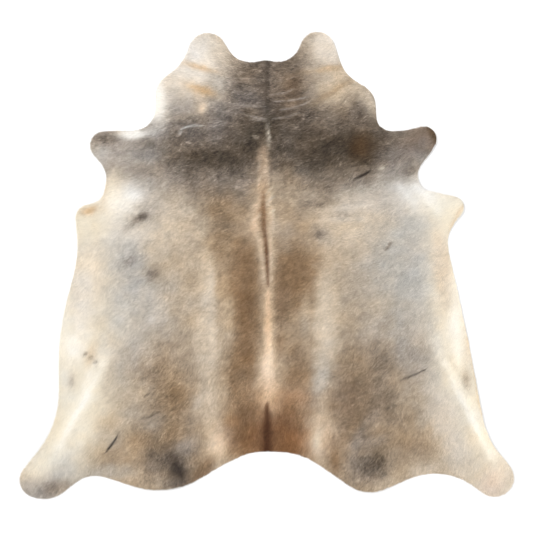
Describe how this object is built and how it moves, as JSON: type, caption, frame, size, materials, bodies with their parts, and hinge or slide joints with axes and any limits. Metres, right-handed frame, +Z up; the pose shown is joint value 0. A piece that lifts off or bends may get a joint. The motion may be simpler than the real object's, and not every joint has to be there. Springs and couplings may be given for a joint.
{
  "type": "cowhide rug",
  "caption": "Whole cowhide rug with the natural outline of the hide, from neck to hind legs, lying flat on the floor with its short hair upwards.",
  "frame": {"origin": "middle of the outline's box, on the floor under the hide", "axes": "+Y along the spine from the tail to the neck, +Z up through the hair side, +X to the right seen from above"},
  "size_m": [2.2254, 2.1024, 0.013],
  "materials": {
    "coat": "short natural hair, greys, browns and creams in soft bands",
    "suede": "matt suede underside and cut edge"
  },
  "bodies": {
    "root": {"hide": "coat"}
  },
  "joints": []
}
